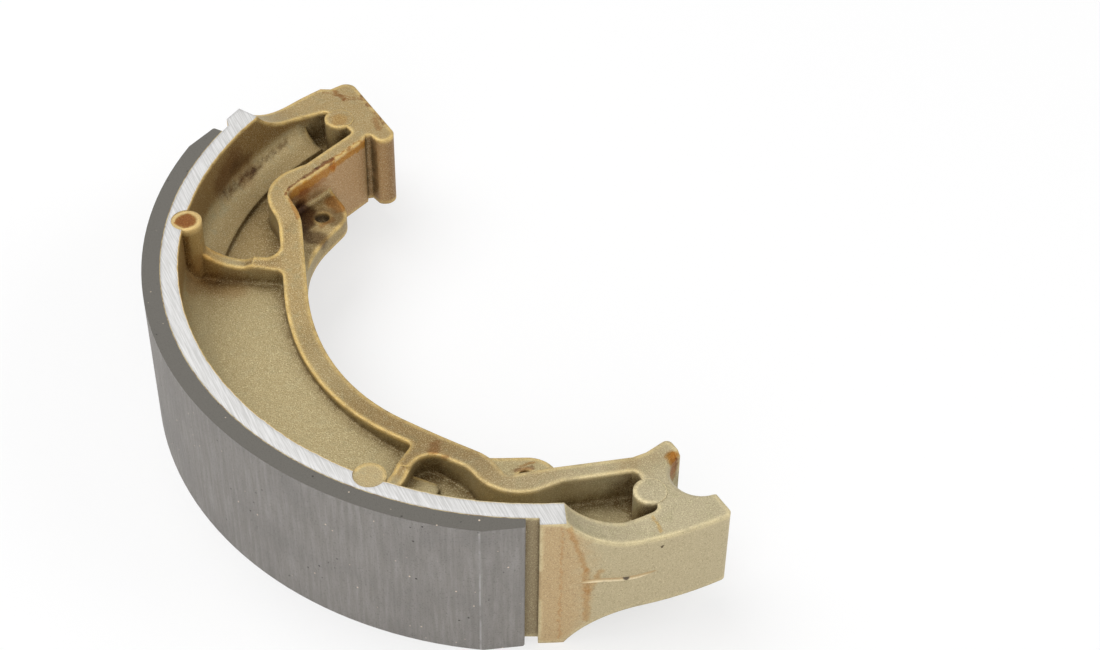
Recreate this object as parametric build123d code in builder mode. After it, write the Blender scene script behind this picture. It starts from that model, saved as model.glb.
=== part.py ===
from build123d import *
import math
import os

os.makedirs("parts", exist_ok=True)

# Drum frame: +Z is the drum axis, the shoe sits on the -X side, the cam end is at +Y.
# Sizes hang on the drum radius: a depth is measured inward from the drum.
drum_radius = 65.0
shoe_width = 28.0
half_width = shoe_width / 2

# Lining, film and table, from the drum inward
lining_thickness = 2.95
film_thickness = 0.15
table_thickness = 2.9
film_outer_r = drum_radius - lining_thickness
table_outer_r = film_outer_r - film_thickness
table_inner_r = table_outer_r - table_thickness
lining_angle_cam = 58.1
lining_angle_anchor = 58.8
lead_in_angle = 5.6
lead_in_depth = 1.25
lining_edge_r = 0.4

# Lands outside the grooves at the lining's ends
groove_half_angle_cam = 59.9
groove_half_angle_anchor = 60.7
land_half_angle = 64.3
land_depth = 1.8
land_outer_r = drum_radius - land_depth
land_chamfer = 1.2
strip_end_angle = 79.5
strip_inner_r = table_inner_r - 2.0

# End blocks and the ramps that climb from them to the table
block_half = 7.5
ramp_length = 12.1
ramp_rise = half_width - block_half
ramp_r = (ramp_length**2 + ramp_rise**2) / (2 * ramp_rise)

# Web, its blend onto the table wall and the ledge on the cam side
web_half = 1.6
foot_r = 5.0
foot_end_angle = 75.0
foot_bite = 0.5
ledge_rise = 1.0
pad_start_r = table_inner_r - 12.0
pad_end_r = table_inner_r - 3.0
pad_width = 6.2

# Inner rib: an arc at mid-span, then a straight run to each end block
rib_center_x = 6.15
rib_depth = 21.3
rib_inner_r = drum_radius - rib_depth
rib_thickness = 4.0
rib_arc_angle = math.radians(22.9)
rib_line_dir = (math.sin(rib_arc_angle), math.cos(rib_arc_angle))
rib_arc_y = rib_inner_r * rib_line_dir[0]
rib_bend_y = drum_radius - 32.1
rib_line_start = (rib_center_x - rib_inner_r * rib_line_dir[1], rib_arc_y)
rib_slope = rib_line_dir[1] / rib_line_dir[0]
rib_line_x = rib_line_start[0] + (rib_bend_y - rib_arc_y) / rib_slope
rib_bend_r = 10.0

# Pocket side of the rib, one thickness farther out
rib_outer_r = rib_inner_r + rib_thickness
rib_outer_x = rib_line_x - rib_thickness
rib_outer_start = (rib_center_x - rib_outer_r * rib_line_dir[1], rib_outer_r * rib_line_dir[0])
rib_outer_end_y = rib_outer_start[1] + (rib_outer_x - rib_outer_start[0]) * rib_slope
pocket_bend_y = drum_radius - 21.2
pocket_bend_r = 0.79 * (pocket_bend_y - rib_outer_end_y)

# Crown: the rib is shallow at mid-span and full height at the end blocks
crown_half = 3.0
crown_end_y = drum_radius - 28.0
crown_blend_r = 30.0
crown_clear_y = drum_radius - 20.0

# Cross ribs and ejector bosses
cross_angle = 35.0
cross_thickness = 2.3
cross_top = 4.75
cross_rise_start_r = table_inner_r - 9.5
cross_rise_end_r = table_inner_r - 2.0
cross_rise_r = 10.0
boss_r = 2.6
boss_center_r = table_inner_r - 0.3
boss_sink = 0.15

# Spring ears
ear_hole_r = 1.35
ear_hole_x = rib_line_x + 5.3
ear_hole_y = drum_radius - 29.0
ear_bend_r = 20.0
ear_tip_r = 5.0
ear_root_r = 0.8

# Cam end
cam_face_x = -2.95
cam_tip_r = drum_radius - 3.0
cam_corner_r = 2.0

# Anchor end
anchor_face_x = -1.35
anchor_corner_r = 1.0
seat_r = 4.7
seat_x = -0.75
seat_y = 11.9 - drum_radius
seat_chamfer = 0.75

# Ejector marks on the end blocks
mark_r = 2.65
mark_x = -9.85
mark_depth = 12.1
mark_proud = 0.1


def polar(radius, half_angle, side):
    """Point at a radius, at an angle from -X toward +Y (side 1) or -Y (side -1)."""
    turn = math.radians(half_angle)
    return (-radius * math.cos(turn), side * radius * math.sin(turn))


def radial_plane(half_angle, side):
    """Upright plane through the drum axis, x outward at an angle from -X, y along the axis."""
    out_x, out_y = polar(1.0, half_angle, side)
    return Plane(origin=(0, 0, 0), x_dir=(out_x, out_y, 0), z_dir=(out_y, -out_x, 0))


def on_circle(radius, x, side):
    """Point of a drum circle at the given x."""
    return (x, side * math.sqrt(radius**2 - x**2))


def end_point(x, depth, side):
    """Point of an end block: x, and its depth below the drum's top (side 1) or bottom (side -1)."""
    return (x, side * (drum_radius - depth))


def cross_root(offset, side):
    """Point where a flank of a cross rib, offset from its middle plane, meets the inner rib."""
    out_x, out_y = polar(1.0, cross_angle, 1)
    run = (offset - rib_outer_start[0] * out_y + rib_outer_start[1] * out_x) / (out_y - rib_slope * out_x)
    return (rib_outer_start[0] + run, side * (rib_outer_start[1] + rib_slope * run))


def inner_edge(side):
    """Inner edge of rib and end block, from the end of the rib's straight run to the inner flat."""
    return [
        (rib_line_x, side * rib_bend_y),
        end_point(rib_line_x, 26.0, side),
        end_point(rib_line_x + 6.9, 23.9, side),
        end_point(-8.4, 19.5, side),
    ]


# ---------------------------------------------------------------- shoe casting
with BuildPart() as shoe_casting:
    # Blocks and rib as one plate, still full height everywhere
    with BuildSketch(Plane.XY.offset(-block_half)) as plate:
        with BuildLine():
            cam_foot = end_point(cam_face_x, 19.6, 1)
            cam_tip = on_circle(cam_tip_r, cam_face_x, 1)
            cam_dip = on_circle(cam_tip_r, -7.2, 1)
            cam_step = on_circle(land_outer_r, -8.8, 1)
            cam_land = polar(land_outer_r, land_half_angle, 1)
            anchor_land = polar(land_outer_r, land_half_angle, -1)
            anchor_tip = on_circle(land_outer_r, anchor_face_x, -1)
            anchor_foot = end_point(anchor_face_x, 20.1, -1)
            back_r = (table_inner_r + table_outer_r) / 2
            cam_back = polar(back_r, land_half_angle, 1)
            anchor_back = polar(back_r, land_half_angle, -1)
            Line(cam_foot, cam_tip)
            ThreePointArc(cam_tip, on_circle(cam_tip_r, -5.0, 1), cam_dip)
            Line(cam_dip, cam_step)
            ThreePointArc(cam_step, on_circle(land_outer_r, -18.0, 1), cam_land)
            Line(cam_land, cam_back)
            ThreePointArc(cam_back, (-back_r, 0), anchor_back)
            Line(anchor_back, anchor_land)
            ThreePointArc(anchor_land, on_circle(land_outer_r, -16.0, -1), anchor_tip)
            Polyline(anchor_tip, anchor_foot, end_point(-6.0, 19.3, -1), inner_edge(-1)[-1])
            Polyline(list(reversed(inner_edge(-1))) + [(rib_line_start[0], -rib_line_start[1])])
            ThreePointArc(
                (rib_line_start[0], -rib_line_start[1]),
                (rib_center_x - rib_inner_r, 0),
                rib_line_start,
            )
            Polyline([rib_line_start] + inner_edge(1))
            Polyline(
                inner_edge(1)[-1],
                end_point(-7.9, 18.7, 1),
                end_point(-7.0, 19.0, 1),
                end_point(-6.7, 20.9, 1),
            )
            ThreePointArc(end_point(-6.7, 20.9, 1), end_point(-4.7, 21.9, 1), cam_foot)
        make_face()
        fillet(plate.vertices().sort_by_distance(cam_tip)[0], cam_corner_r)
        for side in (1, -1):
            for corner, bend_r in zip(inner_edge(side), (rib_bend_r, 1.0)):
                fillet(plate.vertices().sort_by_distance(corner)[0], bend_r)
        for corner in (anchor_foot, anchor_tip):
            fillet(plate.vertices().sort_by_distance(corner)[0], anchor_corner_r)
    extrude(amount=2 * block_half)

    # Crown: cut from both sides, blended into the flat tops of the end blocks
    with BuildSketch(Plane.YZ.offset(-drum_radius)) as crown_zone:
        with BuildLine():
            ThreePointArc((-crown_end_y, block_half), (0, crown_half), (crown_end_y, block_half))
            Polyline(
                (crown_end_y, block_half),
                (crown_clear_y, block_half),
                (crown_clear_y, block_half + 1.0),
                (-crown_clear_y, block_half + 1.0),
                (-crown_clear_y, block_half),
                (-crown_end_y, block_half),
            )
        make_face()
        for side in (1, -1):
            blend = crown_zone.vertices().sort_by_distance((side * crown_end_y, block_half))[0]
            fillet(blend, crown_blend_r)
        mirror(about=Plane.XZ)
    extrude(amount=drum_radius - rib_depth, mode=Mode.SUBTRACT)

    # Table wall at full width
    with BuildSketch(Plane.XY.offset(-half_width)):
        with BuildLine():
            ThreePointArc(
                polar(table_outer_r, land_half_angle, 1),
                (-table_outer_r, 0),
                polar(table_outer_r, land_half_angle, -1),
            )
            Line(polar(table_outer_r, land_half_angle, -1), polar(table_inner_r, land_half_angle, -1))
            ThreePointArc(
                polar(table_inner_r, land_half_angle, -1),
                (-table_inner_r, 0),
                polar(table_inner_r, land_half_angle, 1),
            )
            Line(polar(table_inner_r, land_half_angle, 1), polar(table_outer_r, land_half_angle, 1))
        make_face()
    extrude(amount=shoe_width)

    # Thicker end strips outside the two grooves
    for side, groove_angle in ((1, groove_half_angle_cam), (-1, groove_half_angle_anchor)):
        groove_corner = polar(land_outer_r, groove_angle, side)
        strip_corner = polar(strip_inner_r, strip_end_angle, side)
        with BuildSketch(Plane.XY.offset(-half_width)) as end_strip:
            with BuildLine():
                ThreePointArc(
                    groove_corner,
                    polar(land_outer_r, land_half_angle, side),
                    polar(land_outer_r, strip_end_angle, side),
                )
                Line(polar(land_outer_r, strip_end_angle, side), strip_corner)
                ThreePointArc(
                    strip_corner,
                    polar(strip_inner_r, land_half_angle, side),
                    polar(strip_inner_r, groove_angle, side),
                )
                Line(polar(strip_inner_r, groove_angle, side), groove_corner)
            make_face()
            if side == 1:
                chamfer(end_strip.vertices().sort_by_distance(groove_corner)[0], land_chamfer)
        extrude(amount=shoe_width)

    # Ramps from the lands down to the end blocks
    for side in (1, -1):
        land_out = polar(1.0, land_half_angle, side)
        ramp_plane = Plane(
            origin=(*polar(table_outer_r, land_half_angle, side), 0),
            x_dir=(side * land_out[1], -side * land_out[0], 0),
            z_dir=(land_out[0], land_out[1], 0),
        )
        with BuildSketch(ramp_plane) as ramp:
            with BuildLine():
                RadiusArc((0, half_width), (ramp_length, block_half), -ramp_r)
                Polyline(
                    (ramp_length, block_half),
                    (ramp_length + 8.0, block_half),
                    (ramp_length + 8.0, half_width + 1.0),
                    (0, half_width + 1.0),
                    (0, half_width),
                )
            make_face()
            mirror(about=Plane.XZ)
        extrude(amount=9.0, both=True, mode=Mode.SUBTRACT)

    # Pockets on both sides down to the web, parted by the two cross ribs
    for face_side in (1, -1):
        with BuildSketch(Plane.XY.offset(face_side * web_half)) as pockets:
            with BuildLine():
                cam_wall = on_circle(table_inner_r, -17.0, 1)
                anchor_wall = on_circle(table_inner_r, -17.0, -1)
                blind_ends = end_point(-10.8, 8.8, 1), end_point(-10.4, 8.2, -1)
                blind_feet = end_point(-9.3, 16.8, 1), end_point(-9.3, 16.8, -1)
                bends = (rib_outer_x, pocket_bend_y), (rib_outer_x, -pocket_bend_y)
                rib_ends = (rib_outer_x, rib_outer_end_y), (rib_outer_x, -rib_outer_end_y)
                ThreePointArc(anchor_wall, (-table_inner_r, 0), cam_wall)
                Polyline(
                    cam_wall,
                    blind_ends[0],
                    blind_feet[0],
                    end_point(rib_outer_x + 10.8, 20.7, 1),
                    bends[0],
                    rib_ends[0],
                    rib_outer_start,
                )
                ThreePointArc(
                    rib_outer_start,
                    (rib_center_x - rib_outer_r, 0),
                    (rib_outer_start[0], -rib_outer_start[1]),
                )
                Polyline(
                    (rib_outer_start[0], -rib_outer_start[1]),
                    rib_ends[1],
                    bends[1],
                    end_point(rib_outer_x + 10.8, 20.7, -1),
                    blind_feet[1],
                    blind_ends[1],
                    anchor_wall,
                )
            make_face()
            for corners, corner_r in (
                (bends, pocket_bend_r),
                (rib_ends, pocket_bend_r),
                (blind_feet, 1.2),
                (blind_ends, 1.6),
            ):
                for corner in corners:
                    fillet(pockets.vertices().sort_by_distance((*corner, 0))[0], corner_r)
            with PolarLocations(
                table_inner_r - 7.0, 2, start_angle=180 - cross_angle, angular_range=4 * cross_angle
            ):
                Rectangle(20.0, cross_thickness, mode=Mode.SUBTRACT)
            for side in (1, -1):
                for flank, corner_r in ((0.5, 2.8), (-0.5, 1.2)):
                    near_rib = cross_root(flank * cross_thickness, side)
                    fillet(pockets.vertices().sort_by_distance((*near_rib, 0))[0], corner_r)
        extrude(amount=face_side * shoe_width, mode=Mode.SUBTRACT)

    # Cross ribs sweep up into the bosses on the table wall
    rise_end = cross_top + cross_rise_r - math.sqrt(
        cross_rise_r**2 - (cross_rise_end_r - cross_rise_start_r) ** 2
    )
    for side in (1, -1):
        with BuildSketch(radial_plane(cross_angle, side)) as over_cross:
            with BuildLine():
                RadiusArc(
                    (cross_rise_start_r, cross_top), (cross_rise_end_r, rise_end), -cross_rise_r
                )
                Polyline(
                    (cross_rise_end_r, rise_end),
                    (cross_rise_end_r, half_width),
                    (cross_rise_start_r - 1.5, half_width),
                    (cross_rise_start_r - 1.5, cross_top + 0.6),
                    (cross_rise_start_r, cross_top),
                )
            make_face()
            mirror(about=Plane.XZ)
        extrude(amount=4.5, both=True, mode=Mode.SUBTRACT)
        with BuildSketch(radial_plane(cross_angle, side)) as cross_profile:
            with BuildLine():
                RadiusArc(
                    (cross_rise_start_r, cross_top), (cross_rise_end_r, rise_end), -cross_rise_r
                )
                Polyline(
                    (cross_rise_end_r, rise_end),
                    (table_inner_r + 0.5, rise_end),
                    (table_inner_r + 0.5, 0),
                    (cross_rise_start_r, 0),
                    (cross_rise_start_r, cross_top),
                )
            make_face()
            mirror(about=Plane.XZ)
        extrude(amount=cross_thickness / 2, both=True)

    # Large foot blend from the web onto the table wall, on a raised ledge toward the cam
    foot_root_r = table_inner_r + foot_bite
    for start_angle, end_angle, foot_z in (
        (-foot_end_angle, cross_angle, web_half),
        (cross_angle, foot_end_angle, web_half + ledge_rise),
    ):
        with BuildSketch(radial_plane(end_angle, 1)):
            with BuildLine():
                Polyline(
                    (table_inner_r - foot_r, 0),
                    (foot_root_r, 0),
                    (foot_root_r, foot_z + foot_r),
                    (table_inner_r, foot_z + foot_r),
                )
                RadiusArc(
                    (table_inner_r, foot_z + foot_r), (table_inner_r - foot_r, foot_z), foot_r
                )
                Line((table_inner_r - foot_r, foot_z), (table_inner_r - foot_r, 0))
            make_face()
            mirror(about=Plane.XZ)
        revolve(axis=Axis.Z, revolution_arc=end_angle - start_angle)

    # Low pad beside the anchor-side cross rib
    pad_plane = Plane(
        origin=(0, 0, -web_half - ledge_rise),
        x_dir=(*polar(1.0, cross_angle, -1), 0),
        z_dir=(0, 0, 1),
    )
    with BuildSketch(pad_plane) as pad:
        with Locations(((pad_start_r + pad_end_r) / 2, pad_width / 2)):
            RectangleRounded(pad_end_r - pad_start_r, pad_width, 1.5)
    extrude(amount=2 * (web_half + ledge_rise))

    # Bosses on the table wall, a touch under the machined edge
    with BuildSketch(Plane.XY.offset(-half_width)) as boss_seats:
        with PolarLocations(boss_center_r, 2, start_angle=180 - cross_angle, angular_range=4 * cross_angle):
            Circle(boss_r)
    extrude(amount=shoe_width, mode=Mode.SUBTRACT)
    with BuildSketch(Plane.XY.offset(boss_sink - half_width)) as bosses:
        with PolarLocations(boss_center_r, 2, start_angle=180 - cross_angle, angular_range=4 * cross_angle):
            Circle(boss_r)
    extrude(amount=2 * (half_width - boss_sink))

    # Spring ears on the web level
    for side in (1, -1):
        ear_bend = end_point(rib_line_x - 2.8, 38.0, side)
        ear_tip = end_point(rib_line_x + 10.1, 31.0, side)
        with BuildSketch(Plane.XY.offset(-web_half)) as ear:
            with BuildLine():
                Polyline(
                    (rib_line_start[0] - 1.5, side * (rib_arc_y + 1.0)),
                    (rib_line_start[0], side * rib_arc_y),
                    ear_bend,
                    ear_tip,
                    end_point(rib_line_x + 10.1, 21.5, side),
                    end_point(rib_line_x - 1.6, 24.0, side),
                    close=True,
                )
            make_face()
            fillet(ear.vertices().sort_by_distance((*ear_bend, -web_half))[0], ear_bend_r)
            fillet(ear.vertices().sort_by_distance((*ear_tip, -web_half))[0], ear_tip_r)
            with Locations((ear_hole_x, side * ear_hole_y)):
                Circle(ear_hole_r, mode=Mode.SUBTRACT)
        extrude(amount=2 * web_half)

    # Small blend where the ears leave the upright inner wall
    ear_tops = shoe_casting.faces().filter_by(lambda face: abs(abs(face.center().Z) - web_half) < 0.01)
    block_walls = shoe_casting.faces().filter_by(
        lambda face: abs(face.normal_at().Z) < 0.01 and face.bounding_box().size.Z > 2 * web_half + 0.1
    )
    ear_roots = (ear_tops.edges() & block_walls.edges()).filter_by(
        lambda root: (root @ 0.5).X > rib_outer_x + 0.5
        and math.hypot((root @ 0.5).X, (root @ 0.5).Y) < rib_inner_r + 4.3
    )
    fillet(ear_roots, ear_root_r)

    # Ejector marks at the blind ends of the end pockets
    with BuildSketch(Plane.XY.offset(-block_half - mark_proud)) as marks:
        with Locations(end_point(mark_x, mark_depth, 1), end_point(mark_x, mark_depth, -1)):
            Circle(mark_r)
    extrude(amount=2 * (block_half + mark_proud))

    # Half-round seat for the anchor pin, countersunk at both ends
    with BuildSketch(Plane(origin=(seat_x, seat_y, 0), x_dir=(1, 0, 0), z_dir=(0, -1, 0))) as seat:
        with BuildLine():
            Polyline(
                (0, 0),
                (seat_r, 0),
                (seat_r, block_half - seat_chamfer),
                (seat_r + seat_chamfer, block_half),
                (0, block_half),
                close=True,
            )
        make_face()
        mirror(about=Plane.XZ)
    revolve(axis=Axis((seat_x, seat_y, 0), (0, 0, 1)), mode=Mode.SUBTRACT)

shoe_casting.part.label = "shoe_casting"
export_step(shoe_casting.part, "parts/shoe_casting.step")

# ---------------------------------------------------------------- bond film
film_starts = polar(table_outer_r, lining_angle_cam, 1), polar(film_outer_r, lining_angle_cam, 1)
film_ends = polar(table_outer_r, lining_angle_anchor, -1), polar(film_outer_r, lining_angle_anchor, -1)

with BuildPart() as bond_film:
    with BuildSketch(Plane.XY.offset(-half_width)) as film_plan:
        with BuildLine():
            ThreePointArc(film_starts[0], (-table_outer_r, 0), film_ends[0])
            Line(film_ends[0], film_ends[1])
            ThreePointArc(film_ends[1], (-film_outer_r, 0), film_starts[1])
            Line(film_starts[1], film_starts[0])
        make_face()
    extrude(amount=shoe_width)

bond_film.part.label = "bond_film"
export_step(bond_film.part, "parts/bond_film.step")

# ---------------------------------------------------------------- friction lining
cam_full = polar(drum_radius, lining_angle_cam - lead_in_angle, 1)
cam_end = polar(drum_radius - lead_in_depth, lining_angle_cam, 1)
anchor_full = polar(drum_radius, lining_angle_anchor - lead_in_angle, -1)
anchor_end = polar(drum_radius - lead_in_depth, lining_angle_anchor, -1)

with BuildPart() as friction_lining:
    with BuildSketch(Plane.XY.offset(-half_width)) as lining_plan:
        with BuildLine():
            ThreePointArc(film_starts[1], (-film_outer_r, 0), film_ends[1])
            Polyline(film_ends[1], anchor_end, anchor_full)
            ThreePointArc(anchor_full, (-drum_radius, 0), cam_full)
            Polyline(cam_full, cam_end, film_starts[1])
        make_face()
        for end_corner in (anchor_end, cam_end):
            fillet(lining_plan.vertices().sort_by_distance((*end_corner, -half_width))[0], lining_edge_r)
    extrude(amount=shoe_width)

friction_lining.part.label = "friction_lining"
export_step(friction_lining.part, "parts/friction_lining.step")
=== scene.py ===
import bpy
import math
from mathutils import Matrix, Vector


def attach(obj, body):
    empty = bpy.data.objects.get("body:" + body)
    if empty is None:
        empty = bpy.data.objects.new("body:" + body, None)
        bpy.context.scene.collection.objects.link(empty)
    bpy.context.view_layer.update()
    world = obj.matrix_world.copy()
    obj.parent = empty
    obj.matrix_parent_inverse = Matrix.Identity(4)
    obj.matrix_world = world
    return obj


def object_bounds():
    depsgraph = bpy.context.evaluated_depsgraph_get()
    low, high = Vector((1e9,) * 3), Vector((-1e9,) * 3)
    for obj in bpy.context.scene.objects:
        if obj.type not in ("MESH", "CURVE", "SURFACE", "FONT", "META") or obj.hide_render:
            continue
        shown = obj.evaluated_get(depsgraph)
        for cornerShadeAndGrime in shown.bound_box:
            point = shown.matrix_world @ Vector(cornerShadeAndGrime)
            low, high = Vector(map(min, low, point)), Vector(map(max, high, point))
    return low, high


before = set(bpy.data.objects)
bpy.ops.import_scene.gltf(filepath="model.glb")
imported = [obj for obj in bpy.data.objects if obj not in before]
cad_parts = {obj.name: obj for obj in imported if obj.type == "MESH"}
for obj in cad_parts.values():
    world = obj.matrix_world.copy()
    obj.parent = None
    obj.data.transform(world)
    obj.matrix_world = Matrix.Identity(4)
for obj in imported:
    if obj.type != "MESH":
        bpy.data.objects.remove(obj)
bpy.context.view_layer.update()
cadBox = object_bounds()
bpy.ops.object.select_all(action="DESELECT")
print("frame loaded:", sorted(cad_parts))


# small helpers for nodes

def paint(red, green, blue):  # 0-255 as a paint chart gives it, to linear
    def linear(value):
        value = value / 255
        return value / 12.92 if value <= 0.04045 else ((value + 0.055) / 1.055) ** 2.4
    return (linear(red), linear(green), linear(blue), 1.0)


def newMaterial(name):
    material = bpy.data.materials.new(name)
    material.use_nodes = True
    tree = material.node_tree
    return material, tree, tree.nodes["Principled BSDF"]


def plug(tree, socket, value):  # a link for a socket, a number or colour otherwise
    if isinstance(value, bpy.types.NodeSocket):
        tree.links.new(value, socket)
    else:
        socket.default_value = value


def calc(tree, kind, a, b=0.0, c=0.0, clamp=False):
    node = tree.nodes.new("ShaderNodeMath")
    node.operation = kind
    node.use_clamp = clamp
    for socket, value in zip(node.inputs, (a, b, c)):
        plug(tree, socket, value)
    return node.outputs[0]


def times(tree, first, *others):  # masks laid over each other
    for other in others:
        first = calc(tree, "MULTIPLY", first, other)
    return first


def vec(tree, kind, a, b=(0.0, 0.0, 0.0)):
    node = tree.nodes.new("ShaderNodeVectorMath")
    node.operation = kind
    plug(tree, node.inputs[0], a)
    plug(tree, node.inputs["Scale" if kind == "SCALE" else 1], b)
    return node.outputs["Value"] if kind in ("LENGTH", "DISTANCE", "DOT_PRODUCT") else node.outputs[0]


def fade(tree, value, start, end, low=0.0, high=1.0):  # soft step from start to end
    node = tree.nodes.new("ShaderNodeMapRange")
    node.interpolation_type = "SMOOTHSTEP"
    plug(tree, node.inputs["Value"], value)
    for key, number in (("From Min", start), ("From Max", end), ("To Min", low), ("To Max", high)):
        node.inputs[key].default_value = number
    return node.outputs["Result"]


def blend(tree, factor, a, b, kind="MIX"):
    node = tree.nodes.new("ShaderNodeMix")
    node.data_type = "RGBA"
    node.blend_type = kind
    plug(tree, node.inputs[0], factor)
    plug(tree, node.inputs[6], a)
    plug(tree, node.inputs[7], b)
    return node.outputs[2]


def noise(tree, coords, scale, detail=2.0, rough=0.5, twist=0.0, out="Fac"):
    node = tree.nodes.new("ShaderNodeTexNoise")
    plug(tree, node.inputs["Vector"], coords)
    node.inputs["Scale"].default_value = scale
    node.inputs["Detail"].default_value = detail
    node.inputs["Roughness"].default_value = rough
    node.inputs["Distortion"].default_value = twist
    return node.outputs[out]


def cells(tree, coords, scale):
    node = tree.nodes.new("ShaderNodeTexVoronoi")
    plug(tree, node.inputs["Vector"], coords)
    node.inputs["Scale"].default_value = scale
    return node.outputs["Distance"]


def combine(tree, x, y, z):
    node = tree.nodes.new("ShaderNodeCombineXYZ")
    for socket, value in zip(node.inputs, (x, y, z)):
        plug(tree, socket, value)
    return node.outputs[0]


def smear(tree, coords, start, end, width, soft):  # 1 along the line from start to end, 0 beyond width + soft
    along = tuple(b - a for a, b in zip(start, end))
    span = sum(v * v for v in along)
    away = vec(tree, "SUBTRACT", coords, start)
    part = calc(tree, "MULTIPLY", vec(tree, "DOT_PRODUCT", away, along), 1.0 / span, clamp=True)
    foot = vec(tree, "SCALE", along, part)
    return fade(tree, vec(tree, "LENGTH", vec(tree, "SUBTRACT", away, foot)), width + soft, width)


def near(tree, reach, inside, samples=8):  # 1 in the open, lower by an inner corner, or by an edge when inside
    node = tree.nodes.new("ShaderNodeAmbientOcclusion")
    node.samples = samples
    node.inside = inside
    node.only_local = True
    node.inputs["Distance"].default_value = reach
    return node.outputs["AO"]


def bumpOn(tree, shader, height, distance, rounding=None):
    node = tree.nodes.new("ShaderNodeBump")
    node.inputs["Strength"].default_value = 1.0
    node.inputs["Distance"].default_value = distance
    plug(tree, node.inputs["Height"], height)
    if rounding is not None:  # the light sees the edges rounded
        soft = tree.nodes.new("ShaderNodeBevel")
        soft.samples = 6
        soft.inputs["Radius"].default_value = rounding
        tree.links.new(soft.outputs["Normal"], node.inputs["Normal"])
    tree.links.new(node.outputs["Normal"], shader.inputs["Normal"])


def measures(tree):  # millimetre coordinates and what the finishes are placed by
    coord = tree.nodes.new("ShaderNodeTexCoord")
    mm = vec(tree, "MULTIPLY", coord.outputs["Object"], (1000.0, 1000.0, 1000.0))
    part = tree.nodes.new("ShaderNodeSeparateXYZ")
    tree.links.new(mm, part.inputs[0])
    x, y, z = part.outputs
    up = tree.nodes.new("ShaderNodeSeparateXYZ")
    tree.links.new(coord.outputs["Normal"], up.inputs[0])
    radius = vec(tree, "LENGTH", vec(tree, "MULTIPLY", mm, (1.0, 1.0, 0.0)))
    angle = calc(tree, "ARCTAN2", y, calc(tree, "MULTIPLY", x, -1.0))  # 0 at mid-span, + toward the cam
    return {"mm": mm, "x": x, "y": y, "z": z, "tall": calc(tree, "ABSOLUTE", z), "radius": radius,
            "angle": calc(tree, "MULTIPLY", angle, 57.29578), "facing": calc(tree, "ABSOLUTE", up.outputs[2])}


# the casting's finish: colours first, those from top on are laid over the skin by multiplying
castLook = {
    "pale": paint(165, 154, 125), "golden": paint(158, 139, 98), "cool": paint(150, 142, 110),
    "goldGlintAndWear": paint(214, 182, 112), "paleGlintAndWear": paint(216, 200, 156), "cream": paint(206, 190, 146),
    "floor": paint(155, 141, 103), "brown": paint(143, 120, 76),
    "wall": paint(124, 92, 42), "wallMid": paint(176, 152, 98),
    "mauve": paint(169, 133, 91), "nose": paint(130, 94, 56),
    "outer": paint(184, 170, 136), "peach": paint(187, 160, 119), "groove": paint(150, 134, 104),
    "grimeAndShade": paint(88, 66, 28), "light": paint(238, 226, 184),
    "rubDark": paint(180, 179, 177), "rubLight": paint(203, 202, 201),
    "top": paint(240, 231, 215), "topMid": paint(209, 194, 168),
    "rust": paint(206, 158, 92), "redBrown": paint(156, 106, 66), "orange": paint(250, 214, 128),
    "honey": paint(214, 170, 96), "tan": paint(236, 200, 150),
    "deep": paint(112, 84, 42), "valley": paint(124, 90, 30),
    "metallic": 0.45, "specular": 0.25, "roughness": 0.32, "roughSway": 0.3, "rubbedRoughness": 0.58,
    "skinDepth": 0.00012, "rounding": 0.001, "edgeReach": 0.0011, "cornerReach": 0.005,
}
# size, detail, roughness and twist of the casting's noises
castGrain = {
    "wide": (0.09, 3.0, 0.55), "patchy": (0.5, 4.0, 0.6, 0.3), "grain": (3.6, 2.0, 0.7), "speck": (6.5, 1.0, 0.5),
    "stainShift": (0.9, 3.0, 0.5), "rubLines": (1.0, 3.0, 0.7),
}
# where each tone starts and is full, in mm from the drum axis or mid-width, or in degrees
castZones = {
    "golden": (-42.0, -10.0), "goldenSway": 30.0,  # along y, toward the cam
    "brown": (26.0, 42.0), "brownSway": 14.0,
    "floorTop": (4.2, 2.0), "floorShare": 0.75,
    "level": (0.6, 0.9), "upright": (0.5, 0.2),  # how far a face looks along the axis
    "blockTop": (6.4, 7.0), "ribTop": (2.6, 3.4), "ribRadius": (51.0, 49.0), "bossTop": (13.0, 12.0),
    "palerTop": (4.0, 14.0), "palerRadius": (45.0, 42.0), "camTop": (30.0, 34.0),
    "wallInside": (57.6, 58.6), "wallOutside": (60.2, 59.6), "wallFoot": (5.2, 7.4), "wallShare": 0.85,
    "wallGolden": (8.0, 26.0),
    "flatSlope": -0.353, "flatSide": (50.4, 49.8), "flatRadius": (50.0, 49.0), "flatStart": (38.5, 39.5),
    "flatShare": 0.92, "noseSide": (-6.8, -6.2), "noseTone": (-6.5, -4.5),
    "outerRadius": (61.3, 61.6), "grooveRadius": (62.3, 62.1), "peachEnd": (67.0, 72.0), "peachSway": 5.0,
    "lowTall": (3.6, 3.0), "lowRadius": (47.0, 48.0),  # edges of the web and floor stay plain
    "boss": (-48.1, 33.7, 13.85), "ringInside": (1.7, 2.1), "ringOutside": (3.0, 2.7), "ringShare": 0.7,
    "rubbedTall": (13.9, 13.96), "rubbedLevel": (0.8, 0.95), "rimRadius": (59.5, 59.3), "rimSway": 0.5,
    "rubAlong": (-0.10, -0.995, 0.0), "rubAcross": (0.995, -0.10, 0.0), "rubLength": 0.14, "rubWidth": 4.2,
}
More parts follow.
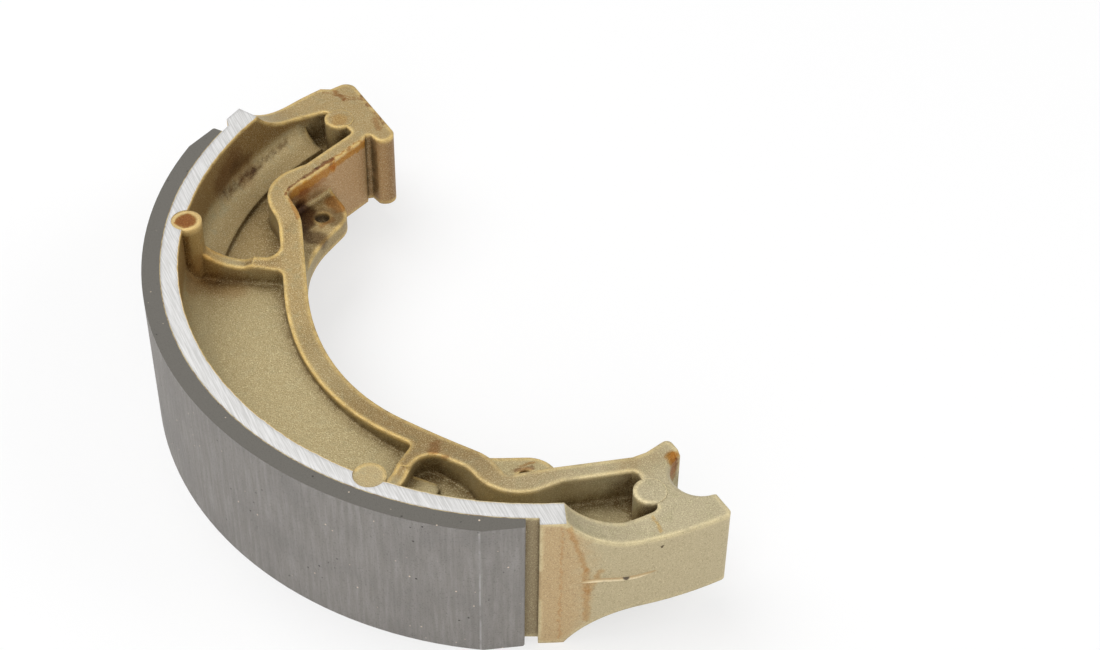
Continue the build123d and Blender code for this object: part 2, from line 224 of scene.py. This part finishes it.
# from, to, width, soft edge (mm), colour, strength
castStains = (
    ((-48.1, 33.7, 13.8), (-48.1, 33.7, 13.9), 1.6, 0.4, "rust", 0.9),
    ((-48.1, 33.7, 13.8), (-48.1, 33.7, 13.9), 1.1, 1.0, "rust", 0.6),
    ((-47.8, 33.3, 12.5), (-46.6, 32.4, 4.0), 2.4, 2.4, "orange", 0.45),
    ((-46.5, 29.5, 1.8), (-43.5, 27.0, 1.8), 1.2, 2.6, "rust", 0.35),
    ((-50.5, 28.5, 4.0), (-48.0, 31.5, 6.0), 0.8, 2.2, "rust", 0.4),
    ((-33.6, -27.0, 5.6), (-32.6, -25.6, 5.4), 0.5, 0.9, "rust", 0.7),
    ((-35.4, -28.6, 5.3), (-33.0, -29.5, 6.0), 0.3, 0.5, "rust", 0.5),
    ((-6.9, 60.6, 7.5), (-6.3, 57.6, 7.5), 0.2, 0.4, "rust", 0.75),
    ((-6.3, 57.6, 7.5), (-4.6, 56.6, 7.5), 0.1, 0.4, "rust", 0.6),
    ((-3.3, 57.0, 7.3), (-3.3, 46.6, 7.3), 0.1, 0.4, "redBrown", 0.75),
    ((-4.2, 49.5, 7.5), (-4.8, 47.0, 7.5), 0.3, 0.5, "rust", 0.6),
    ((-3.4, 56.0, 7.5), (-8.8, 61.6, 7.3), 0.1, 0.25, "rust", 0.5),
    ((-27.6, 38.6, 7.4), (-26.2, 40.0, 7.4), 0.15, 0.35, "redBrown", 0.85),
    ((-26.2, 40.0, 7.4), (-22.7, 41.2, 7.4), 0.12, 0.35, "redBrown", 0.8),
    ((-22.7, 41.2, 7.4), (-19.6, 42.2, 7.4), 0.15, 0.35, "redBrown", 0.8),
    ((-19.6, 42.2, 7.4), (-16.3, 43.2, 7.4), 0.35, 0.4, "redBrown", 0.9),
    ((-16.3, 43.2, 7.4), (-8.6, 45.6, 7.3), 0.1, 0.3, "rust", 0.7),
    ((-27.4, 37.0, 7.2), (-27.9, 33.0, 6.8), 0.2, 0.5, "rust", 0.7),
    ((-23.4, 40.0, 4.6), (-24.4, 39.8, 2.4), 0.7, 1.4, "rust", 0.7),
    ((-18.6, 39.2, 1.7), (-18.2, 36.8, 1.5), 0.9, 1.0, "rust", 0.85),
    ((-20.6, 34.6, 1.6), (-23.4, 33.9, 1.6), 0.2, 0.5, "rust", 0.6),
    ((-2.9, -48.6, 7.0), (-3.3, -49.3, 3.4), 1.0, 0.8, "honey", 1.0),
    ((-2.6, -48.5, 7.0), (-3.1, -49.0, 4.4), 0.4, 0.9, "orange", 0.9),
    ((-1.9, -48.5, 7.4), (-2.2, -49.4, 2.6), 0.1, 0.4, "redBrown", 0.7),
    ((-25.6, 39.4, 6.1), (-16.5, 42.6, 6.1), 0.6, 0.8, "orange", 1.0),
    ((-25.6, 39.4, 4.9), (-18.5, 41.9, 4.6), 0.1, 0.7, "rust", 0.5),
    ((-35.2, 45.6, 5.8), (-28.3, 50.2, 4.8), 0.3, 1.3, "valley", 0.95),
    ((-28.3, 50.2, 4.8), (-19.8, 54.1, 5.2), 0.2, 1.0, "valley", 0.75),
    ((-33.0, 50.0, 8.0), (-29.5, 52.0, 7.0), 0.5, 2.0, "valley", 0.5),
    ((-16.5, 42.6, 6.3), (-8.6, 45.4, 6.4), 0.4, 0.6, "orange", 1.0),
    # the next three darken the ear by the wall and round its hole
    ((-26.0, 36.4, 1.6), (-24.6, 38.6, 1.6), 1.6, 1.6, "deep", 1.0),
    ((-26.8, 33.0, 1.6), (-25.0, 31.0, 1.6), 0.9, 1.6, "deep", 0.8),
    ((-21.4, 36.2, 1.6), (-20.4, 34.8, 1.6), 1.4, 1.3, "deep", 0.6),
    ((-12.3, -57.6, 7.5), (-12.7, -60.6, 7.5), 0.12, 0.4, "orange", 0.6),
    ((-22.9, -34.0, 1.6), (-20.4, -34.9, 1.6), 0.25, 0.5, "redBrown", 0.7),
    ((-21.6, -33.6, 1.6), (-19.6, -34.0, 1.6), 0.15, 0.4, "rust", 0.7),
    ((-32.4, 48.7, 9.5), (-36.0, 46.4, 8.0), 1.2, 3.2, "redBrown", 0.55),
    ((-29.6, 50.6, 6.0), (-31.0, 49.6, 5.0), 0.8, 2.4, "rust", 0.35),
    ((-26.9, -57.2, 12.8), (-24.6, -58.2, 3.0), 0.15, 0.55, "tan", 0.6),
    ((-24.6, -58.2, 3.0), (-24.2, -58.4, -9.0), 0.2, 0.7, "tan", 0.6),
    ((-22.5, -59.1, 2.2), (-24.2, -58.4, -2.0), 0.2, 0.7, "tan", 0.6),
    ((-28.0, -56.7, 12.9), (-28.0, -56.7, -13.0), 0.05, 0.3, "tan", 0.5),
    ((-13.45, -61.75, 5.7), (-13.4, -61.75, 5.5), 0.15, 0.2, "grimeAndShade", 0.9),
    ((-9.9, 52.6, 7.5), (-9.9, 52.6, 7.6), 1.2, 0.8, "orange", 0.5),
    ((-5.6, 46.2, 6.5), (-5.6, 46.2, -6.5), 0.1, 0.5, "redBrown", 0.6),
    ((-3.4, 44.9, 6.5), (-3.4, 44.9, -6.5), 0.1, 0.5, "rust", 0.5),
)


def castTones(tree, m, grains):  # plain tones of the cast skin, from the ends to the floors and walls
    look, zone = castLook, castZones
    tall, radius, facing, patchy = m["tall"], m["radius"], m["facing"], grains["patchy"]

    # pale at the anchor end, more golden toward the cam
    toCam = fade(tree, calc(tree, "MULTIPLY_ADD", grains["wide"], zone["goldenSway"], m["y"]), *zone["golden"])
    tint = blend(tree, toCam, look["pale"], look["golden"])
    tint = blend(tree, fade(tree, patchy, 0.48, 0.7, 0.0, 0.7), tint, look["cool"])
    browner = fade(tree, calc(tree, "MULTIPLY_ADD", patchy, zone["brownSway"], m["y"]), *zone["brown"])
    onFloor = times(tree, fade(tree, tall, *zone["floorTop"]), zone["floorShare"])
    tint = blend(tree, onFloor, tint, blend(tree, browner, look["floor"], look["brown"]))

    # tops of the rib and the end blocks
    ribHigh = times(tree, fade(tree, tall, *zone["ribTop"]), fade(tree, radius, *zone["ribRadius"]))
    high = calc(tree, "MAXIMUM", fade(tree, tall, *zone["blockTop"]), ribHigh)
    high = times(tree, high, fade(tree, tall, *zone["bossTop"]))
    onTop = times(tree, fade(tree, facing, *zone["level"]), high, toCam)
    paler = times(tree, fade(tree, m["y"], *zone["palerTop"]), fade(tree, radius, *zone["palerRadius"]))
    paler = calc(tree, "MAXIMUM", paler, fade(tree, m["y"], *zone["camTop"]))
    tint = blend(tree, onTop, tint, blend(tree, paler, look["topMid"], look["top"]), "MULTIPLY")

    # inside of the table wall, painted shade: darker and browner under the rubbed edge
    upright = fade(tree, facing, *zone["upright"])
    wallShade = times(tree, fade(tree, radius, *zone["wallInside"]), fade(tree, radius, *zone["wallOutside"]), upright,
                   fade(tree, tall, *zone["wallFoot"]), zone["wallShare"])
    tint = blend(tree, wallShade, tint,
                 blend(tree, fade(tree, m["y"], *zone["wallGolden"]), look["wallMid"], look["wall"]))

    # the cam block's inner flat and nose took a mauve tone
    camSide = calc(tree, "MULTIPLY_ADD", m["x"], zone["flatSlope"], m["y"])
    camSide = calc(tree, "MAXIMUM", fade(tree, camSide, *zone["flatSide"]), fade(tree, m["x"], *zone["noseSide"]))
    onFlat = times(tree, upright, fade(tree, radius, *zone["flatRadius"]),
                   times(tree, fade(tree, m["y"], *zone["flatStart"]), camSide), zone["flatShare"])
    tint = blend(tree, onFlat, tint, blend(tree, fade(tree, m["x"], *zone["noseTone"]), look["mauve"], look["nose"]))

    # the outer faces are peach beside the groove
    outside = times(tree, fade(tree, radius, *zone["outerRadius"]), upright)
    fromMiddle = calc(tree, "MULTIPLY_ADD", patchy, zone["peachSway"], calc(tree, "ABSOLUTE", m["angle"]))
    tint = blend(tree, outside, tint,
                 blend(tree, fade(tree, fromMiddle, *zone["peachEnd"]), look["peach"], look["outer"]))
    inGroove = times(tree, outside, fade(tree, radius, *zone["grooveRadius"]))
    return blend(tree, inGroove, tint, look["groove"]), toCam, inGroove


def castWear(tree, m, grains, tint, toCam, inGroove):  # grime and painted shade in the inner corners, bare metal and a painted gold highlight on the edges
    look, zone, patchy = castLook, castZones, grains["patchy"]
    # painted shade with some grime: the inner corners are darkened by ambient occlusion
    cornerShadeAndGrime = times(tree, fade(tree, near(tree, look["cornerReach"], False), 0.88, 0.45),
                   calc(tree, "MULTIPLY_ADD", inGroove, -0.75, 1.0), fade(tree, patchy, 0.3, 0.6, 0.45, 0.95))
    tint = blend(tree, cornerShadeAndGrime, tint, look["grimeAndShade"])
    low = times(tree, fade(tree, m["tall"], *zone["lowTall"]), fade(tree, m["radius"], *zone["lowRadius"]))
    # painted highlight with some wear: convex edges found by inside occlusion turn pale gold, more golden toward the
    # cam
    edgeGlintAndWear = times(tree, fade(tree, near(tree, look["edgeReach"], True), 0.97, 0.6),
                 fade(tree, patchy, 0.25, 0.6, 0.25, 0.85), calc(tree, "SUBTRACT", 1.0, low))
    tint = blend(tree, edgeGlintAndWear, tint, blend(tree, toCam, look["paleGlintAndWear"], look["goldGlintAndWear"]))

    # pale ring on the boss that the bath stained
    away = vec(tree, "DISTANCE", m["mm"], zone["boss"])
    ring = times(tree, fade(tree, away, *zone["ringInside"]), fade(tree, away, *zone["ringOutside"]), zone["ringShare"])
    return blend(tree, ring, tint, look["cream"])


def castStained(tree, m, grains, tint):  # fine blasted grain with pale specks painted as glints, then stains where the bath ran off and darker patches on the ear
    tint = blend(tree, fade(tree, grains["grain"], 0.5, 0.72, 0.0, 0.32), tint, castLook["grimeAndShade"])
    # painted highlight: pale specks stand for glints on the blasted grain
    tint = blend(tree, fade(tree, grains["speck"], 0.5, 0.72, 0.0, 0.36), tint, castLook["light"])
    shift = vec(tree, "SUBTRACT", noise(tree, m["mm"], *castGrain["stainShift"], out="Color"), (0.5, 0.5, 0.5))
    ragged = vec(tree, "ADD", m["mm"], vec(tree, "SCALE", shift, 1.5))
    broken = fade(tree, grains["grain"], 0.3, 0.55, 0.8, 1.0)
    for start, end, width, soft, colour, strength in castStains:
        here = times(tree, smear(tree, ragged, start, end, width, soft), strength, broken)
        tint = blend(tree, here, tint, castLook[colour], "MULTIPLY")
    return tint


def castFinish():
    look, zone = castLook, castZones
    material, tree, shader = newMaterial("castAlloy")
    m = measures(tree)
    mm = m["mm"]
    grains = {name: noise(tree, mm, *castGrain[name]) for name in ("wide", "patchy", "grain", "speck")}
    tint, toCam, inGroove = castTones(tree, m, grains)
    tint = castWear(tree, m, grains, tint, toCam, inGroove)
    tint = castStained(tree, m, grains, tint)

    # both side edges of the table are rubbed flat and bright; the inner rim is left out of the rubbing, so its gold
    # edge, worn metal with a painted highlight, shows as a line
    rimLine = fade(tree, calc(tree, "MULTIPLY_ADD", grains["patchy"], zone["rimSway"], m["radius"]), *zone["rimRadius"])
    rubbed = times(tree, fade(tree, m["tall"], *zone["rubbedTall"]), fade(tree, m["facing"], *zone["rubbedLevel"]),
                   calc(tree, "SUBTRACT", 1.0, rimLine))
    along = calc(tree, "MULTIPLY", vec(tree, "DOT_PRODUCT", mm, zone["rubAlong"]), zone["rubLength"])
    across = calc(tree, "MULTIPLY", vec(tree, "DOT_PRODUCT", mm, zone["rubAcross"]), zone["rubWidth"])
    lines = noise(tree, combine(tree, along, across, 0.0), *castGrain["rubLines"])
    shine = blend(tree, fade(tree, lines, 0.38, 0.62), look["rubDark"], look["rubLight"])
    tree.links.new(blend(tree, rubbed, tint, shine), shader.inputs["Base Color"])

    unrubbed = calc(tree, "SUBTRACT", 1.0, rubbed)
    dull = calc(tree, "MULTIPLY_ADD", grains["grain"], look["roughSway"], look["roughness"])
    rough = calc(tree, "ADD", times(tree, dull, unrubbed), times(tree, rubbed, look["rubbedRoughness"]))
    tree.links.new(rough, shader.inputs["Roughness"])
    shader.inputs["Metallic"].default_value = look["metallic"]
    shader.inputs["Specular IOR Level"].default_value = look["specular"]
    skin = calc(tree, "ADD", times(tree, grains["grain"], 0.7), times(tree, grains["patchy"], 0.5))
    skin = calc(tree, "ADD", times(tree, skin, unrubbed), times(tree, lines, rubbed, 0.12))
    bumpOn(tree, shader, skin, look["skinDepth"], look["rounding"])
    return material


# the friction lining's finish
liningLook = {
    "side": paint(96, 93, 87), "ground": paint(130, 126, 121), "streak": paint(145, 141, 137),
    "pit": paint(58, 54, 50), "fleck": paint(214, 196, 176), "dust": paint(118, 115, 112),
    "bright": paint(176, 174, 172),
    "perDegree": 1.1345, "streakLength": 0.07, "fineLength": 0.22,  # mm along the face, streaks drawn out along z
    "pitSize": 0.7, "pitEdge": (0.16, 0.06), "fleckSize": 0.6, "fleckEdge": (0.12, 0.05),
    "leadInAngle": 52.8, "leadInWidth": (0.22, 0.04),
    "roughness": 0.62, "roughSway": 0.2, "specular": 0.35, "depth": 0.0001,
}


def liningFinish():
    look = liningLook
    material, tree, shader = newMaterial("frictionBlock")
    m = measures(tree)
    mm, facing = m["mm"], m["facing"]
    around = calc(tree, "MULTIPLY", m["angle"], look["perDegree"])
    face = combine(tree, around, calc(tree, "MULTIPLY", m["z"], look["streakLength"]), 0.0)
    fineFace = combine(tree, around, calc(tree, "MULTIPLY", m["z"], look["fineLength"]), 3.0)
    streaks = noise(tree, face, 1.4, 4.0, 0.65)
    fineStreaks = noise(tree, fineFace, 5.0, 2.0, 0.6)
    wide = noise(tree, mm, 0.12, 3.0, 0.6)
    grain = noise(tree, mm, 3.5, 2.0, 0.7)

    tint = blend(tree, fade(tree, streaks, 0.35, 0.7), look["ground"], look["streak"])
    tint = blend(tree, fade(tree, fineStreaks, 0.55, 0.8, 0.0, 0.4), tint, look["dust"])
    tint = blend(tree, fade(tree, wide, 0.4, 0.7, 0.0, 0.4), tint, look["dust"])
    tint = blend(tree, fade(tree, facing, 0.4, 0.8), tint, look["side"])
    tint = blend(tree, fade(tree, grain, 0.52, 0.75, 0.0, 0.35), tint, look["pit"])

    # small pits and pale flecks, in some places only
    pits = times(tree, fade(tree, cells(tree, mm, look["pitSize"]), *look["pitEdge"]),
                 fade(tree, noise(tree, mm, 0.6, 1.0), 0.55, 0.65))
    tint = blend(tree, pits, tint, look["pit"])
    flecks = times(tree, fade(tree, cells(tree, mm, look["fleckSize"]), *look["fleckEdge"]),
                   fade(tree, noise(tree, mm, 0.8, 1.0), 0.52, 0.6))
    tint = blend(tree, flecks, tint, look["fleck"])

    # bright line where the ground face turns into the lead-in
    fromTurn = calc(tree, "SUBTRACT", calc(tree, "ABSOLUTE", m["angle"]), look["leadInAngle"])
    atTurn = times(tree, fade(tree, calc(tree, "ABSOLUTE", fromTurn), *look["leadInWidth"]),
                   fade(tree, facing, 0.8, 0.4), fade(tree, noise(tree, mm, 0.35, 2.0), 0.4, 0.6, 0.15, 0.6))
    tint = blend(tree, atTurn, tint, look["bright"])
    tree.links.new(tint, shader.inputs["Base Color"])

    tree.links.new(calc(tree, "MULTIPLY_ADD", grain, look["roughSway"], look["roughness"]), shader.inputs["Roughness"])
    shader.inputs["Specular IOR Level"].default_value = look["specular"]
    height = calc(tree, "SUBTRACT", times(tree, grain, 0.5), pits)
    height = calc(tree, "ADD", height, times(tree, fineStreaks, 0.5))
    bumpOn(tree, shader, height, look["depth"])
    return material


# the adhesive line
glueLook = {
    "cream": paint(176, 160, 118), "brown": paint(120, 96, 60),
    "roughness": 0.4, "roughSway": 0.3, "depth": 0.0001,
}


def glueFinish():
    material, tree, shader = newMaterial("bondGlue")
    patchy = noise(tree, measures(tree)["mm"], 0.8, 3.0, 0.6)
    tint = blend(tree, fade(tree, patchy, 0.4, 0.65), glueLook["cream"], glueLook["brown"])
    tree.links.new(tint, shader.inputs["Base Color"])
    tree.links.new(calc(tree, "MULTIPLY_ADD", patchy, glueLook["roughSway"], glueLook["roughness"]),
                   shader.inputs["Roughness"])
    bumpOn(tree, shader, patchy, glueLook["depth"])
    return material


finishes = {"shoe_casting": castFinish(), "friction_lining": liningFinish(), "bond_film": glueFinish()}
for nodeName, finish in finishes.items():
    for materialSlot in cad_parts[nodeName].material_slots:
        materialSlot.material = finish
print("finishes on:", ", ".join(finishes))


# thin flash line left by the mould on the outer face of the anchor end, from start over sweep degrees
flashLook = {
    "radius": 0.0632, "start": 65.6, "sweep": 12.0, "steps": 30,
    "proud": 0.00045, "half": 0.0006, "sunk": 0.0001, "sway": 0.0003, "thinnest": 0.06,
    "foot": paint(168, 144, 104), "crestHighlight": paint(214, 198, 162), "dark": paint(84, 72, 56),
    "highlightRadius": (63.25, 63.5), "darkSpots": (((-22.0, -59.25, -0.4), 0.5), ((-18.6, -60.4, 0.1), 0.35)),
    "darkSoft": 0.35, "metallic": 0.4, "roughness": 0.35, "roughSway": 0.25, "depth": 0.0001,
}


def flashLine():
    look = flashLook
    turn = math.radians(look["start"])
    outward = Vector((-math.cos(turn), -math.sin(turn), 0.0))
    bpy.ops.mesh.primitive_circle_add(vertices=3, radius=look["half"], fill_type="NGON", location=(0, 0, 0))
    ridge = bpy.context.object
    ridge.name = "flash_line"
    corners = ((look["proud"], 0.0), (-look["sunk"], look["half"]), (-look["sunk"], -look["half"]))
    for vertex, (rise, side) in zip(ridge.data.vertices, corners):
        vertex.co = outward * (look["radius"] + rise) + Vector((0.0, 0.0, side))
    bpy.ops.object.mode_set(mode="EDIT")
    bpy.ops.mesh.select_all(action="SELECT")
    bpy.ops.mesh.spin(steps=look["steps"], angle=math.radians(-look["sweep"]), center=(0, 0, 0), axis=(0, 0, 1))
    bpy.ops.mesh.select_all(action="SELECT")
    bpy.ops.mesh.remove_doubles(threshold=1e-7)
    bpy.ops.mesh.normals_make_consistent(inside=False)
    bpy.ops.object.mode_set(mode="OBJECT")
    # fades out at both ends and waves a little, as flash does
    sunk = look["radius"] - look["sunk"]
    for vertex in ridge.data.vertices:
        spot = math.degrees(math.atan2(-vertex.co.y, -vertex.co.x))
        share = (spot - look["start"]) / look["sweep"]
        swell = math.sin(math.pi * min(1.0, max(0.0, share))) ** 0.6
        height = max(look["thinnest"], swell * (0.9 + 0.1 * math.sin(share * 9.0)))
        flat = vertex.co.xy.length
        vertex.co.xy *= (sunk + (flat - sunk) * height) / flat
        vertex.co.z = vertex.co.z * (0.3 + 0.7 * height) + look["sway"] * math.sin(share * 7.0)
    return ridge


def flashFinish():
    look = flashLook
    material, tree, shader = newMaterial("castFlash")
    m = measures(tree)
    grain = noise(tree, m["mm"], 3.0, 2.0, 0.6)
    # painted highlight: the crest of the ridge is painted paler than its foot
    tint = blend(tree, fade(tree, m["radius"], *look["highlightRadius"]), look["foot"], look["crestHighlight"])
    tint = blend(tree, fade(tree, grain, 0.5, 0.75, 0.0, 0.6), tint, look["foot"])
    for place, width in look["darkSpots"]:
        away = vec(tree, "DISTANCE", m["mm"], place)
        tint = blend(tree, fade(tree, away, width + look["darkSoft"], width), tint, look["dark"])
    tree.links.new(tint, shader.inputs["Base Color"])
    tree.links.new(calc(tree, "MULTIPLY_ADD", grain, look["roughSway"], look["roughness"]), shader.inputs["Roughness"])
    shader.inputs["Metallic"].default_value = look["metallic"]
    bumpOn(tree, shader, grain, look["depth"])
    return material


flash = flashLine()
flash.data.materials.append(flashFinish())
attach(flash, "root")
print("flash line:", len(flash.data.vertices), "points")


def seenDirectly(tree):  # 1 for the camera, glossy and transmission rays, so that metal sees the pale studio too
    rays = tree.nodes.new("ShaderNodeLightPath")
    return calc(tree, "MAXIMUM", rays.outputs["Is Camera Ray"],
                calc(tree, "MAXIMUM", rays.outputs["Is Glossy Ray"], rays.outputs["Is Transmission Ray"]))


# pale floor that keeps the shadow
floorLook = {"size": 6.0, "colour": (0.86, 0.86, 0.86, 1.0), "roughness": 0.9, "white": (1.0, 1.0, 1.0, 1.0),
             "shadowShare": 0.35}
bpy.ops.mesh.primitive_plane_add(size=floorLook["size"], location=(0.0, 0.0, cadBox[0][2]))
floor = bpy.context.object
floor.name = "floor"
floorMaterial, floorTree, floorShader = newMaterial("paleFloor")
floorShader.inputs["Base Color"].default_value = floorLook["colour"]
floorShader.inputs["Roughness"].default_value = floorLook["roughness"]
glow = floorTree.nodes.new("ShaderNodeEmission")
glow.inputs["Color"].default_value = floorLook["white"]
glow.inputs["Strength"].default_value = 1.0
share = calc(floorTree, "MULTIPLY", seenDirectly(floorTree), 1.0 - floorLook["shadowShare"])
mixed = floorTree.nodes.new("ShaderNodeMixShader")
floorTree.links.new(share, mixed.inputs[0])
floorTree.links.new(floorShader.outputs[0], mixed.inputs[1])
floorTree.links.new(glow.outputs[0], mixed.inputs[2])
floorTree.links.new(mixed.outputs[0], floorTree.nodes["Material Output"].inputs["Surface"])
floor.data.materials.append(floorMaterial)

# white studio, dimmer on the object than it looks
skyLook = {"colour": (1.0, 1.0, 1.0, 1.0), "onObject": 0.38}
world = bpy.data.worlds.new("studio")
bpy.context.scene.world = world
world.use_nodes = True
sky = world.node_tree.nodes["Background"]
sky.inputs["Color"].default_value = skyLook["colour"]
strength = calc(world.node_tree, "MULTIPLY_ADD", seenDirectly(world.node_tree), 1.0 - skyLook["onObject"],
                skyLook["onObject"])
world.node_tree.links.new(strength, sky.inputs["Strength"])

lampLook = {
    "key": {"place": (-0.25, 0.35, 0.75), "size": 0.7, "power": 5.0},
    "front": {"place": (-0.45, -0.55, 0.45), "size": 0.6, "power": 2.6},
    "side": {"place": (0.55, -0.35, 0.45), "size": 0.5, "power": 1.9},
}
for lampName, lamp in lampLook.items():
    bpy.ops.object.light_add(type="AREA", location=lamp["place"])
    light = bpy.context.object
    light.name = lampName
    light.data.size = lamp["size"]
    light.data.energy = lamp["power"]
    aim = -light.location.normalized()
    light.rotation_euler = aim.to_track_quat("-Z", "Y").to_euler()

viewLook = {
    "place": (-0.14330, -0.24038, 0.26148), "turn": (46.34169, -0.79174, -30.73102),
    "lens": 72.64, "sensor": 36.0, "nearest": 0.01, "farthest": 20.0,
}
bpy.ops.object.camera_add(location=viewLook["place"], rotation=[math.radians(v) for v in viewLook["turn"]])
camera = bpy.context.object
camera.name = "camera"
camera.data.sensor_width = viewLook["sensor"]
camera.data.lens = viewLook["lens"]
camera.data.clip_start = viewLook["nearest"]
camera.data.clip_end = viewLook["farthest"]
bpy.context.scene.camera = camera
bpy.context.scene.view_settings.view_transform = "Standard"
print("stage, lamps and camera ready")

bpy.context.view_layer.update()
